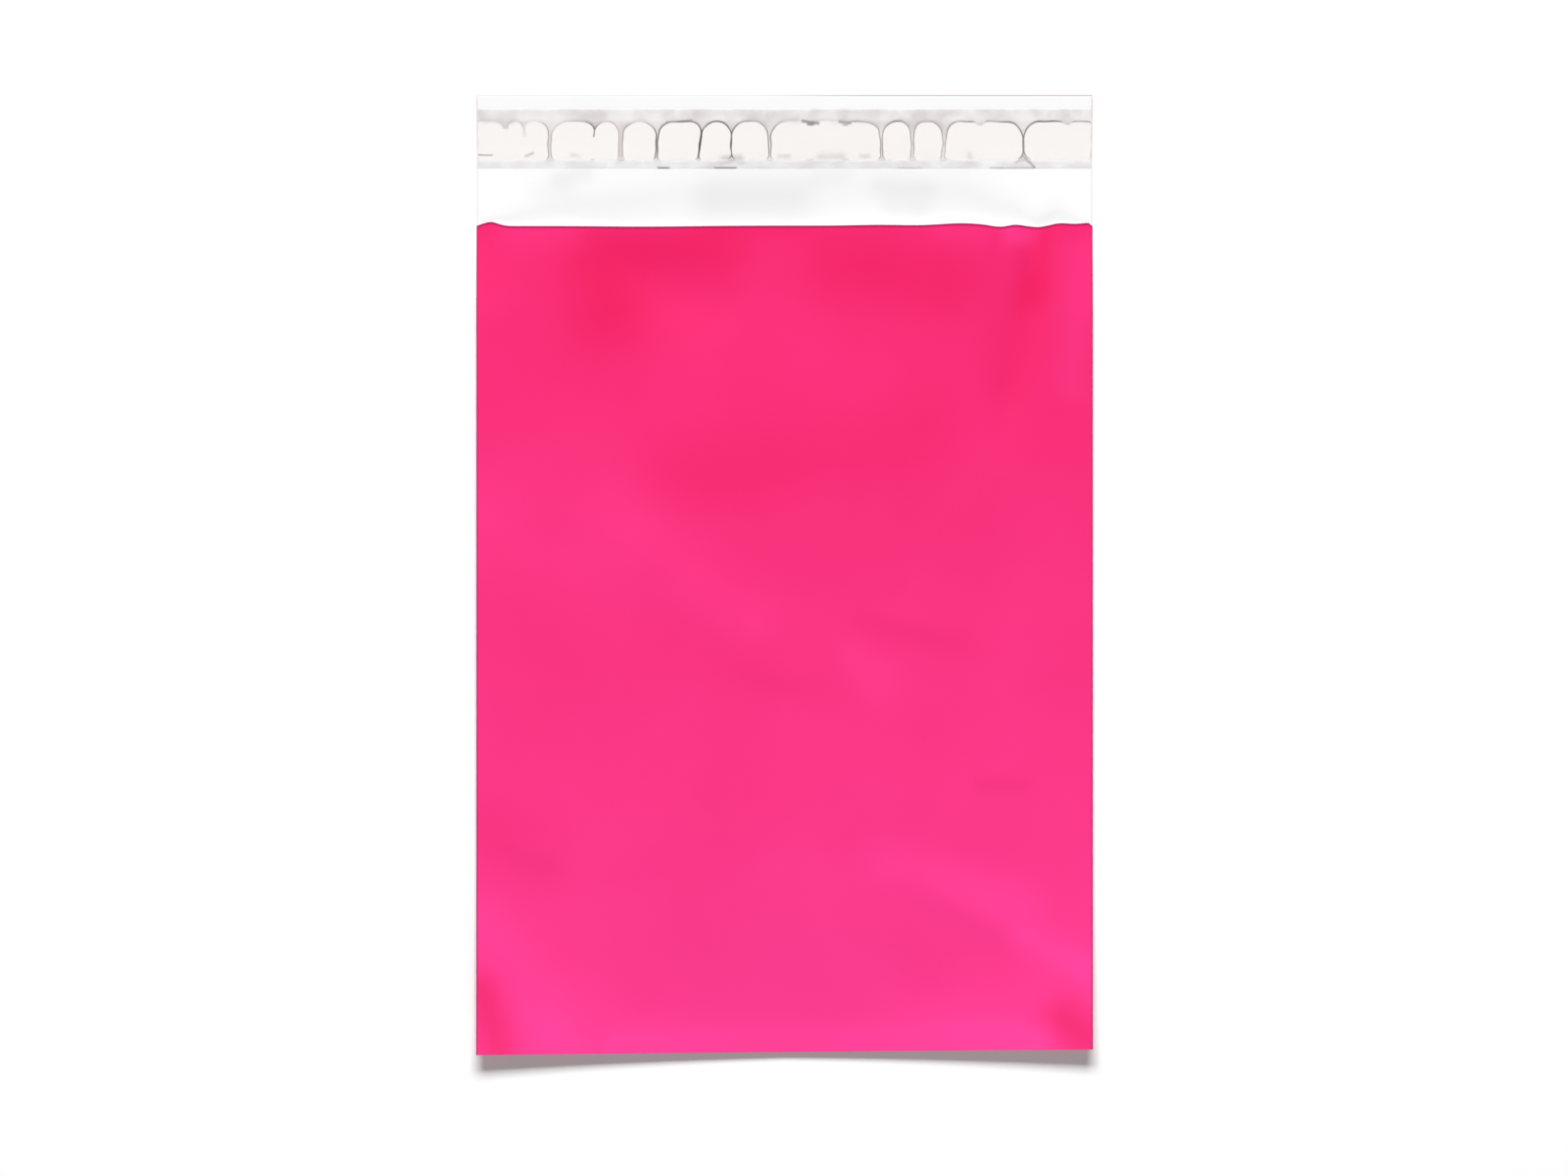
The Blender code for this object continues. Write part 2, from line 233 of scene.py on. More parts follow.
# Lighter and deeper places: painted shade and highlights of the pink film's soft folds and creases, and
# grey patches on the white flap: (start, end, width, strength), each point in metres across and along the
# mailer
PAINTED_SHADE_AND_TONES = (
    ((-0.070, 0.118), (-0.064, 0.100), 0.016, -0.34),
    ((-0.048, 0.120), (-0.024, 0.119), 0.012, -0.28),
    ((0.020, 0.114), (0.056, 0.110), 0.014, -0.26),
    ((0.0965, 0.130), (0.0920, 0.104), 0.0065, -0.25),
    ((0.0925, 0.106), (0.0850, 0.072), 0.0085, -0.16),
    ((0.109, 0.120), (0.106, 0.070), 0.0060, 0.20),
    ((0.085, 0.127), (0.089, 0.1265), 0.0045, 0.60),
    ((0.060, 0.1275), (0.072, 0.127), 0.0050, 0.22),
    ((-0.102, 0.127), (-0.080, 0.127), 0.0070, 0.20),
    ((-0.040, 0.036), (0.052, 0.053), 0.016, -0.20),
    ((-0.108, 0.020), (-0.060, 0.004), 0.022, 0.24),
    ((-0.034, -0.006), (-0.012, -0.018), 0.011, 0.20),
    ((-0.020, -0.031), (0.012, -0.040), 0.011, -0.14),
    ((0.030, -0.018), (0.066, -0.026), 0.0070, -0.12),
    ((0.026, -0.030), (0.036, -0.040), 0.0080, 0.16),
    ((0.073, -0.077), (0.088, -0.077), 0.0040, -0.14),
    ((-0.110, -0.096), (-0.092, -0.106), 0.014, -0.22),
    ((-0.113, -0.127), (-0.080, -0.176), 0.0085, 0.24),
    ((-0.112, -0.155), (-0.106, -0.176), 0.0080, -0.76),
    ((0.038, -0.108), (0.086, -0.122), 0.010, 0.26),
    ((0.090, -0.136), (0.113, -0.146), 0.0070, 0.38),
    ((0.052, -0.146), (0.082, -0.148), 0.013, -0.14),
    ((0.104, -0.166), (0.112, -0.172), 0.010, -0.88),
    ((-0.075, -0.140), (-0.058, -0.152), 0.014, -0.10),
    ((-0.060, -0.175), (0.095, -0.173), 0.0070, 0.46),
    ((-0.084, 0.147), (-0.074, 0.149), 0.0035, -0.50),
    ((-0.090, 0.142), (-0.082, 0.143), 0.0050, -0.25),
    ((-0.026, 0.139), (0.002, 0.138), 0.0090, -0.55),
    ((0.036, 0.144), (0.052, 0.143), 0.0045, -0.42),
    ((0.040, 0.137), (0.050, 0.136), 0.0040, -0.35),
    ((0.012, 0.148), (0.022, 0.149), 0.0040, -0.25),
)

# Fineness of the mesh: columns across the film, and rows along each stretch of it
FILM_COLUMNS = 180
FRONT_ROWS = 160
BACK_ROWS = 50
FOLD_ROWS = 6
FLAP_ROWS = 36

film_low, film_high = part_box("pouch")
HALF_WIDTH = (film_high.x - film_low.x) / 2 - WELD_BEAD
POUCH_LENGTH = film_high.y - film_low.y - FLAP_LENGTH
CLEAR_HALF_WIDTH = HALF_WIDTH - WELD_WIDTH
LAYER_SPACING = FILM + FOLD_GAP
FOLD_RADIUS = LAYER_SPACING / 2
TOP_Y = film_high.y
MOUTH_Y = TOP_Y - FLAP_LENGTH
FOLD_Y = film_low.y + FOLD_RADIUS + FILM / 2


def ease(share):
    """0 below 0, 1 above 1, and smooth between."""
    share = min(1.0, max(0.0, share))
    return share * share * (3 - 2 * share)


def curl(distance, reach):
    """1 at an edge, curving down to 0 at its reach."""
    return max(0.0, 1 - distance / reach) ** 2


def bell(offset, width):
    """1 at the middle of a wave or fold, dying away over its width."""
    return math.exp(-((offset / width) ** 2))


def flap_height(y):
    """Curl of the flap's free edge."""
    return FLAP_LIFT * curl(max(0.0, TOP_Y - y), FLAP_REACH)


def fold_line(x):
    """Where the slightly skewed bottom fold runs."""
    return FOLD_Y + FOLD_SKEW * (x / HALF_WIDTH + 1) / 2


def back_height(x, y):
    """Height of the underside of the back panel and flap above the table."""
    from_weld = max(0.0, CLEAR_HALF_WIDTH - abs(x))
    from_fold = max(0.0, y - fold_line(x))
    side = curl(from_weld, SEAM_REACH) * ease((MOUTH_Y - y) / SEAM_REACH)
    bottom = curl(from_fold, SEAM_REACH)
    seams = 1 - (1 - side) * (1 - bottom)
    corner = curl(from_weld, CORNER_REACH_ACROSS) * curl(from_fold, CORNER_REACH_ALONG)
    return SEAM_LIFT * seams + CORNER_LIFT * corner + flap_height(y)


def panel_fold_height(x, y, start, end, height, width):
    """Height of one soft fold, which fades out towards both its ends."""
    start_x = start[0] * HALF_WIDTH
    start_y = FOLD_Y + start[1] * POUCH_LENGTH
    run_x = (end[0] - start[0]) * HALF_WIDTH
    run_y = (end[1] - start[1]) * POUCH_LENGTH
    length = math.hypot(run_x, run_y)
    along = ((x - start_x) * run_x + (y - start_y) * run_y) / length**2
    across = ((x - start_x) * run_y - (y - start_y) * run_x) / length
    return height * max(0.0, 4 * along * (1 - along)) * bell(across, 2 * width * HALF_WIDTH)


def mouth_reach(y):
    """How strongly the mouth's waves are felt at this distance below it."""
    return math.exp((y - MOUTH_Y) / MOUTH_WAVE_RUN)


def wave_strength(x, share, width):
    """How strongly one of the mouth's waves is felt here."""
    return bell(x - share * HALF_WIDTH, 2 * width * HALF_WIDTH)


def ripple(x, y):
    """The film's fine waves, as a share of the puff's height."""
    across, along = RIPPLE_LENGTHS
    return RIPPLE_SHARE * noise.noise(Vector((x / across, y / along, RIPPLE_SEED)))


def puff_height(x, y):
    """Free height between the two panels. It is zero at the welds and at the bottom fold."""
    across = 1 - min(1.0, abs(x) / CLEAR_HALF_WIDTH) ** PUFF_ROUNDNESS
    along = 1 - math.exp(-max(0.0, y - fold_line(x)) / PUFF_RISE)
    settle = 1 - MOUTH_SETTLE * ease(1 - (MOUTH_Y - y) / MOUTH_SETTLE_RUN)
    folds = sum(panel_fold_height(x, y, *fold) for fold in PANEL_FOLDS)
    waves = sum(rise * wave_strength(x, share, width) for share, rise, _, width in MOUTH_WAVES)
    detail = min(1.0, DETAIL_RISE * across) * along * (folds + mouth_reach(y) * waves + ripple(x, y))
    return PUFF * max(0.0, across * along * settle + detail)


def mouth_forward(x, y):
    """How far the front panel's waves carry a point towards the flap."""
    hold = ease((HALF_WIDTH - abs(x)) / WELD_HOLD)
    waves = sum(forward * wave_strength(x, share, width) for share, _, forward, width in MOUTH_WAVES)
    return 2 * HALF_WIDTH * hold * mouth_reach(y) * waves


def front_point(x, share):
    """The front panel, from the mouth (share 0) to the bottom fold."""
    y = MOUTH_Y + (fold_line(x) - MOUTH_Y) * share
    return x, y + mouth_forward(x, y), back_height(x, y) + puff_height(x, y) + FILM / 2 + LAYER_SPACING


def fold_point(x, share):
    """The bottom fold, from the front panel round to the back."""
    angle = math.pi * (0.5 + share)
    y = fold_line(x)
    middle = back_height(x, y) + FILM / 2 + FOLD_RADIUS
    return x, y + FOLD_RADIUS * math.cos(angle), middle + FOLD_RADIUS * math.sin(angle)


def back_point(x, share):
    """The back panel, from the bottom fold up to the mouth."""
    y = fold_line(x) + (MOUTH_Y - fold_line(x)) * share
    return x, y, back_height(x, y) + FILM / 2


def flap_point(x, share):
    """The flap, from the mouth up to its free edge."""
    y = MOUTH_Y + (TOP_Y - MOUTH_Y) * share
    return x, y, back_height(x, y) + FILM / 2


def weld_point(x, share):
    """Half-way between the two panels along an edge, from the mouth to the bottom fold."""
    y = MOUTH_Y + (fold_line(x) - MOUTH_Y) * share
    return x, y + mouth_forward(x, y), back_height(x, y) + FILM / 2 + FOLD_RADIUS


def distance_from_line(x, y, start, end):
    """How far a point lies from a straight line between two others."""
    run_x, run_y = end[0] - start[0], end[1] - start[1]
    along = ((x - start[0]) * run_x + (y - start[1]) * run_y) / (run_x**2 + run_y**2)
    along = min(1.0, max(0.0, along))
    return math.hypot(x - start[0] - along * run_x, y - start[1] - along * run_y)


def painted_shade_and_tone_at(x, y):
    """Sum of the painted shade, highlights and grey patches of the film at a point."""
    return sum(
        strength * bell(distance_from_line(x, y, start, end), width)
        for start, end, width, strength in PAINTED_SHADE_AND_TONES
    )


def lay_sheet(shape, left, right, columns, stretches):
    """Adds one sheet to a bmesh. Its stretches follow one another from the top of the grid down, each as
    (number of rows, function from x and a share of the stretch to a point)."""
    painted_shade_and_tone = shape.verts.layers.float["painted_shade_and_tone"]
    from_mouth = shape.verts.layers.float["from_mouth"]
    total = sum(rows for rows, _ in stretches)
    grid = bmesh.ops.create_grid(shape, x_segments=columns, y_segments=total, size=1)
    for vertex in grid["verts"]:
        x = left + (right - left) * (vertex.co.x + 1) / 2
        row = round((1 - vertex.co.y) / 2 * total)
        vertex[from_mouth] = row / FRONT_ROWS * (MOUTH_Y - FOLD_Y)
        for rows, place in stretches:
            if row <= rows:
                break
            row -= rows
        vertex.co = place(x, row / rows)
        vertex[painted_shade_and_tone] = painted_shade_and_tone_at(vertex.co.x, vertex.co.y)


web = bmesh.new()
web.verts.layers.float.new("painted_shade_and_tone")
web.verts.layers.float.new("from_mouth")
round_the_web = (
    (FRONT_ROWS, front_point),
    (FOLD_ROWS, fold_point),
    (BACK_ROWS, back_point),
    (FLAP_ROWS, flap_point),
)
lay_sheet(web, -HALF_WIDTH, HALF_WIDTH, FILM_COLUMNS, round_the_web)
for side in (-1, 1):
    edges = sorted((side * CLEAR_HALF_WIDTH, side * (HALF_WIDTH + WELD_BEAD)))
    lay_sheet(web, *edges, 1, ((FRONT_ROWS, weld_point),))
pouch = finish_mesh(web, "mailer_film")


def thicken(sheet, thickness):
    """Gives a sheet its real thickness, with its second material on the inner face, and shades its broad
    faces true right up to the cut edges."""
    wall = sheet.modifiers.new("thickness", "SOLIDIFY")
    wall.thickness = thickness
    wall.offset = 0
    wall.material_offset = 1
    normals = sheet.modifiers.new("flat_cut_edges", "WEIGHTED_NORMAL")
    normals.weight = 100


thicken(pouch, FILM)

PINK_SHADED_AND_DEEP = (0.745, 0.006, 0.080)
PINK_LIT_AND_PALE = (1.0, 0.052, 0.315)
EDGE_SHADE_PINK = (0.52, 0.012, 0.140)
LIP_SHADE_CRIMSON = (0.34, 0.005, 0.085)
WHITE_FILM = (0.865, 0.86, 0.86)
GREY_FILM = (0.72, 0.72, 0.735)
EDGE_SHADE_WHITE = (0.46, 0.44, 0.445)
FILM_ROUGHNESS = 0.55
FILM_SPECULAR = 0.1

# The pink film's tone, from 0 (deep and shaded) to 1 (pale and lit), with painted light that makes it lighter
# towards the bottom fold: its level at the mouth, its gain towards the bottom fold and how late that comes,
# and what soft random clouds and the painted shade and highlights of the places above add to it
MOUTH_PAINTED_LIGHT = 0.33
FOLD_PAINTED_LIGHT_GAIN = 0.54
PAINTED_LIGHT_CURVE = 1.6
PINK_CLOUD = 0.26
PINK_CLOUD_SCALE = 16
PAINTED_SHADE_SHARE = 0.54

# The white film's grey clouds: their strength, their fineness, and the noise at which they begin and are full
WHITE_CLOUD = 0.14
WHITE_CLOUD_SCALE = 22
WHITE_CLOUD_NOISE = (0.45, 0.75)

# Painted edge shade: dark lines along the cut edges, with a painted shadow under the flap's lifted end: how
# far in from the edge each begins and is full. The white film's are fainter at the sides, and along the
# flap's end on the left.
PINK_SIDE_LINE = (0.0006, 0.0002)
LIP_LINE = (0.0012, 0.0002)
WHITE_LINE = (0.0005, 0.0002)
WHITE_SIDE_STRENGTH = 0.45
END_SHADOW_LEFT_STRENGTH = 0.25
END_SHADOW_CHANGE = (-0.01, 0.03)


def add_noise(tree, place, scale, detail):
    """A noise texture over the given coordinates. Returns its strength."""
    node = tree.nodes.new("ShaderNodeTexNoise")
    node.inputs["Scale"].default_value = scale
    node.inputs["Detail"].default_value = detail
    tree.links.new(place, node.inputs["Vector"])
    return node.outputs["Fac"]


def add_range(tree, value, low, high, start=0.0, end=1.0):
    """Maps a value from between two limits to between two others, held at both ends. Returns the result."""
    node = tree.nodes.new("ShaderNodeMapRange")
    tree.links.new(value, node.inputs["Value"])
    for name, number in zip(("From Min", "From Max", "To Min", "To Max"), (low, high, start, end)):
        node.inputs[name].default_value = number
    return node.outputs["Result"]


def add_mix(tree, share, first, second):
    """Blends from one colour to another. Returns the result."""
    node = tree.nodes.new("ShaderNodeMix")
    node.data_type = "RGBA"
    tree.links.new(share, node.inputs["Factor"])
    for name, colour in (("A", first), ("B", second)):
        if isinstance(colour, bpy.types.NodeSocket):
            tree.links.new(colour, node.inputs[name])
        else:
            node.inputs[name].default_value = (*colour, 1)
    return node.outputs["Result"]


def add_attribute(tree, name):
    """A value stored on the mesh. Returns its number."""
    node = tree.nodes.new("ShaderNodeAttribute")
    node.attribute_name = name
    return node.outputs["Fac"]


def add_place(tree):
    """The object's own coordinates. Returns them."""
    return tree.nodes.new("ShaderNodeTexCoord").outputs["Object"]


def split_place(tree, place):
    """Splits coordinates. Returns their X and Y."""
    node = tree.nodes.new("ShaderNodeSeparateXYZ")
    tree.links.new(place, node.inputs[0])
    return node.outputs["X"], node.outputs["Y"]


def add_edge_shade_line(tree, value, edge, line, strength=1.0):
    """A painted line of edge shade just inside an edge of the film. Returns its strength."""
    return add_range(tree, value, edge - line[0], edge - line[1], 0.0, strength)


pink_material, pink_tree, pink_shader = add_shader("pink_outer_film")
place = add_place(pink_tree)
place_x, place_y = split_place(pink_tree, place)
# Painted light: the pink grows lighter from the mouth towards the bottom fold
painted_light_gain = add_math(pink_tree, "POWER", add_range(pink_tree, place_y, MOUTH_Y, FOLD_Y), PAINTED_LIGHT_CURVE)
painted_light_gain = add_math(pink_tree, "MULTIPLY_ADD", painted_light_gain, FOLD_PAINTED_LIGHT_GAIN, MOUTH_PAINTED_LIGHT)
cloud = add_noise(pink_tree, place, PINK_CLOUD_SCALE, detail=3)
cloud = add_math(pink_tree, "MULTIPLY_ADD", cloud, PINK_CLOUD, -PINK_CLOUD / 2)
# Painted shade and highlights of the folds and creases
painted_fold_shade = add_math(pink_tree, "MULTIPLY", add_attribute(pink_tree, "painted_shade_and_tone"), PAINTED_SHADE_SHARE)
tone_and_painted_light = add_math(pink_tree, "ADD", add_math(pink_tree, "ADD", painted_light_gain, cloud), painted_fold_shade)
film_pink = add_mix(pink_tree, add_math(pink_tree, "MAXIMUM", tone_and_painted_light, 0.0), PINK_SHADED_AND_DEEP, PINK_LIT_AND_PALE)
# Painted edge shade along the welded sides, and along the mouth's cut lip
side_shade_line = add_edge_shade_line(pink_tree, add_math(pink_tree, "ABSOLUTE", place_x), HALF_WIDTH, PINK_SIDE_LINE)
film_pink = add_mix(pink_tree, side_shade_line, film_pink, EDGE_SHADE_PINK)
lip_shade_line = add_range(pink_tree, add_attribute(pink_tree, "from_mouth"), *LIP_LINE)
film_pink = add_mix(pink_tree, lip_shade_line, film_pink, LIP_SHADE_CRIMSON)
pink_tree.links.new(film_pink, pink_shader.inputs["Base Color"])

white_material, white_tree, white_shader = add_shader("white_inner_film")
place = add_place(white_tree)
place_x, place_y = split_place(white_tree, place)
cloud = add_noise(white_tree, place, WHITE_CLOUD_SCALE, detail=2)
cloud = add_range(white_tree, cloud, *WHITE_CLOUD_NOISE, 0.0, WHITE_CLOUD)
greying = add_math(white_tree, "MULTIPLY_ADD", add_attribute(white_tree, "painted_shade_and_tone"), -1.0, cloud)
film_white = add_mix(white_tree, add_math(white_tree, "MAXIMUM", greying, 0.0), WHITE_FILM, GREY_FILM)
# Painted shadow under the flap's lifted free end, fainter on the left, and painted edge shade along its sides
end_shadow_strength = add_range(white_tree, place_x, *END_SHADOW_CHANGE, END_SHADOW_LEFT_STRENGTH, 1.0)
end_shadow_line = add_edge_shade_line(white_tree, place_y, TOP_Y, WHITE_LINE)
end_shadow_line = add_math(white_tree, "MULTIPLY", end_shadow_line, end_shadow_strength)
from_middle = add_math(white_tree, "ABSOLUTE", place_x)
side_shade_line = add_edge_shade_line(white_tree, from_middle, HALF_WIDTH, WHITE_LINE, WHITE_SIDE_STRENGTH)
film_white = add_mix(white_tree, add_math(white_tree, "MAXIMUM", end_shadow_line, side_shade_line), film_white, EDGE_SHADE_WHITE)
white_tree.links.new(film_white, white_shader.inputs["Base Color"])

for shader in (pink_shader, white_shader):
    shader.inputs["Roughness"].default_value = FILM_ROUGHNESS
    shader.inputs["Specular IOR Level"].default_value = FILM_SPECULAR
pouch.data.materials.append(pink_material)
pouch.data.materials.append(white_material)
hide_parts("pouch")
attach(pouch, "root")

# Closure adhesive
# A band of hot-melt adhesive, rolled on across the flap's white face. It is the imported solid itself,
# off-white and faintly uneven from the roller.
ADHESIVE_COLOUR = (0.855, 0.83, 0.81)
ADHESIVE_ROUGHNESS = 0.35
ROLLER_BUMP = 0.0001
ROLLER_BUMP_STRENGTH = 0.2
ROLLER_BUMP_SCALE = 900

adhesive_material, adhesive_tree, adhesive_shader = add_shader("hot_melt_adhesive")
adhesive_shader.inputs["Base Color"].default_value = (*ADHESIVE_COLOUR, 1)
adhesive_shader.inputs["Roughness"].default_value = ADHESIVE_ROUGHNESS
roller_noise = add_noise(adhesive_tree, add_place(adhesive_tree), ROLLER_BUMP_SCALE, detail=2)
roller_bump = adhesive_tree.nodes.new("ShaderNodeBump")
roller_bump.inputs["Strength"].default_value = ROLLER_BUMP_STRENGTH
roller_bump.inputs["Distance"].default_value = ROLLER_BUMP
adhesive_tree.links.new(roller_noise, roller_bump.inputs["Height"])
adhesive_tree.links.new(roller_bump.outputs["Normal"], adhesive_shader.inputs["Normal"])
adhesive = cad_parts["adhesive_strip"]
adhesive.data.materials.clear()
adhesive.data.materials.append(adhesive_material)

# Release liner
# The clear peel-off film over the adhesive. It sticks in cells with rounded tops and has let go in narrow
# tunnels between them and along both long edges. Round its edge of contact a thin dark line of shade is
# painted.
LINER_FILM = 0.00005
ADHESIVE_FILM = 0.00008
SEAT_GAP = 0.00005
LINER_STEP = 0.00034
CELL_INSET = 0.0003

# The loose film rises over the first millimetre from a cell, by more in some patches, and droops at its
# long edges, to just short of its seat. It lifts less in the two margins.
TUNNEL_LIFT = 0.0006
TUNNEL_RISE = 0.0011
PATCH_LIFT = (0.6, 0.8)
EDGE_DROOP = 0.0016
EDGE_CLEAR = 0.0004
FOOT_LIFT_SHARE = 0.35
TOP_LIFT_SHARE = 0.55
MARGIN_EASE = 0.0020

# The real cells are uneven. Noise shifts them by up to the wobble, and varies the film's lift and the
# darkness of its painted lines of shade from patch to patch. Each noise is (waves a metre across, waves a
# metre along, set of chance waves).
WOBBLE = 0.00030
SIDE_NOISE = (90, 260, 1.0)
OUTLINE_NOISE = (240, 240, 2.0)
PATCH_NOISE = (160, 90, 4.0)
PATCH_DARKNESS = (0.3, 1.2)

# A tunnel that stops part of the way down joins two cells over this much to each side of it
BRIDGE_HALF_WIDTH = 0.004
BRIDGE_LINE_WIDTH = 0.0006
LARGEST_RADIUS_SHARE = 0.49

# The film looks fully loose this far from a cell, and hazes less below the cells
LOOSE_RISE = 0.0005
FOOT_HAZE = 0.75


class Tunnel(typing.NamedTuple):
    """A tunnel between two cells. Its reach down is a share of the cells' height, and its darkness that
    of its painted lines of shade."""

    top_x: float
    foot_x: float
    half_gap: float
    reach: float
    darkness: float
    arch_radius: float
    foot_radius: float


# Tunnels from left to right
TUNNELS = (
    Tunnel(-0.1035, -0.1040, 0.0012, 0.20, 0.10, 0.0030, 0.0012),
    Tunnel(-0.0970, -0.0960, 0.0006, 0.40, 0.12, 0.0030, 0.0030),
    Tunnel(-0.0872, -0.0872, 0.0006, 1.00, 0.60, 0.0062, 0.0014),
    Tunnel(-0.0705, -0.0713, 0.0001, 0.40, 0.70, 0.0040, 0.0012),
    Tunnel(-0.0608, -0.0608, 0.0008, 1.00, 0.50, 0.0058, 0.0012),
    Tunnel(-0.0473, -0.0476, 0.0004, 1.00, 0.80, 0.0058, 0.0010),
    Tunnel(-0.0304, -0.0320, 0.0003, 1.00, 0.90, 0.0046, 0.0010),
    Tunnel(-0.0198, -0.0198, 0.0002, 1.00, 1.00, 0.0054, 0.0020),
    Tunnel(-0.0055, -0.0055, 0.0005, 1.00, 0.60, 0.0060, 0.0012),
    Tunnel(0.0095, 0.0095, 0.0008, 0.10, 0.40, 0.0016, 0.0012),
    Tunnel(0.0224, 0.0224, 0.0008, 0.10, 0.40, 0.0016, 0.0012),
    Tunnel(0.0361, 0.0361, 0.0005, 1.00, 0.60, 0.0062, 0.0014),
    Tunnel(0.0474, 0.0474, 0.0006, 1.00, 0.50, 0.0046, 0.0012),
    Tunnel(0.0593, 0.0590, 0.0007, 1.00, 0.50, 0.0056, 0.0014),
    Tunnel(0.0725, 0.0725, 0.0012, 0.10, 0.00, 0.0016, 0.0012),
    Tunnel(0.0886, 0.0888, 0.0002, 1.00, 1.00, 0.0064, 0.0030),
    Tunnel(0.1052, 0.1052, 0.0010, 0.10, 0.00, 0.0016, 0.0012),
)

# How dark the painted line of shade along the top of each cell is, from left to right, and along the foot
# of them all
CELL_TOP_LINES = (0.15, 0.1, 0.1, 0.4, 0.4, 0.3, 1.0, 0.9, 0.7, 0.15, 0.05, 0.6, 0.8, 0.7, 0.9, 0.8, 1.0, 0.9)
CELL_FOOT_LINE = 0.05

# Marks in the liner: (start, end, width, haze, line), the line being painted shade. The first are smudges of
# haze over the adhesive, and the last short creases, where the film pinches at a tunnel's foot or along its
# own cut edge.
LINER_MARKS = (
    ((-0.1125, 0.1694), (-0.1105, 0.1692), 0.0014, 0.9, 0.15),
    ((-0.1070, 0.1694), (-0.1015, 0.1692), 0.0016, 0.9, 0.15),
    ((-0.0228, 0.1545), (-0.0166, 0.1545), 0.0016, 1.0, 0.22),
    ((-0.0050, 0.1705), (0.0040, 0.1700), 0.0024, 0.9, 0.08),
    ((0.0068, 0.1686), (0.0124, 0.1678), 0.0007, 1.0, 0.50),
    ((0.0086, 0.1674), (0.0106, 0.1672), 0.0005, 0.5, 0.35),
    ((0.0190, 0.1700), (0.0330, 0.1700), 0.0024, 0.7, 0.04),
    ((0.0206, 0.1684), (0.0242, 0.1679), 0.0007, 1.0, 0.42),
    ((0.0135, 0.1552), (0.0215, 0.1552), 0.0018, 0.8, 0.10),
    ((-0.0020, 0.1555), (0.0015, 0.1555), 0.0009, 0.8, 0.10),
    ((0.0285, 0.1555), (0.0310, 0.1555), 0.0010, 0.7, 0.08),
    ((0.0685, 0.1560), (0.0695, 0.1535), 0.0014, 0.6, 0.05),
    ((-0.0790, 0.1560), (-0.0765, 0.1556), 0.0008, 0.6, 0.15),
    ((-0.0960, 0.1556), (-0.0935, 0.1566), 0.0006, 0.4, 0.30),
    ((0.0885, 0.1558), (0.0858, 0.1532), 0.0003, 0.0, 0.45),
    ((0.0885, 0.1558), (0.0930, 0.1514), 0.0003, 0.0, 0.60),
    ((-0.1143, 0.1560), (-0.1085, 0.1559), 0.0003, 0.0, 0.55),
    ((-0.0439, 0.1681), (-0.0344, 0.1690), 0.0003, 0.0, 0.50),
    ((-0.0470, 0.1512), (-0.0430, 0.1512), 0.0003, 0.0, 0.70),
    ((-0.0260, 0.1512), (-0.0180, 0.1512), 0.0003, 0.0, 0.60),
    ((-0.0680, 0.1512), (0.0010, 0.1512), 0.0003, 0.0, 0.16),
    ((0.0417, 0.1512), (0.0508, 0.1512), 0.0003, 0.0, 0.40),
    ((0.0763, 0.1512), (0.0926, 0.1512), 0.0003, 0.0, 0.50),
)

liner_low, liner_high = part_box("release_liner")
adhesive_low, adhesive_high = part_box("adhesive_strip")
CELL_TOP = adhesive_high.y - CELL_INSET
CELL_FOOT = adhesive_low.y + CELL_INSET
CELL_MIDDLE = (CELL_TOP + CELL_FOOT) / 2
CELL_HEIGHT = CELL_TOP - CELL_FOOT
LINER_SEAT = FILM + ADHESIVE_FILM + 2 * SEAT_GAP + LINER_FILM / 2

# The strip's two ends bound the outer cells as tunnels without a gap would
CELL_BOUNDS = (
    Tunnel(liner_low.x, liner_low.x, 0.0, 1.0, 0.3, 0.0012, 0.0012),
    *TUNNELS,
    Tunnel(liner_high.x, liner_high.x, 0.0, 1.0, 0.3, 0.0012, 0.0012),
)


def place_on_tunnel(tunnel, y):
    """Where a tunnel, or an end of the strip, runs at this height."""
    share = min(1.0, max(0.0, (y - CELL_FOOT) / CELL_HEIGHT))
    return tunnel.foot_x + (tunnel.top_x - tunnel.foot_x) * share


def distance_from_cell(x, y, left, right, radius):
    """How far a point lies outside a stuck cell, negative inside, and how much of that is along the strip."""
    radius = min(radius, LARGEST_RADIUS_SHARE * (right - left))
    beyond_x = abs(x - (left + right) / 2) - (right - left) / 2 + radius
    beyond_y = abs(y - CELL_MIDDLE) - CELL_HEIGHT / 2 + radius
    outside = math.hypot(max(beyond_x, 0.0), max(beyond_y, 0.0))
    distance = outside + min(max(beyond_x, beyond_y), 0.0) - radius
    sideways = max(beyond_x, 0.0) / outside if outside > 0 else float(beyond_x > beyond_y)
    return distance, sideways


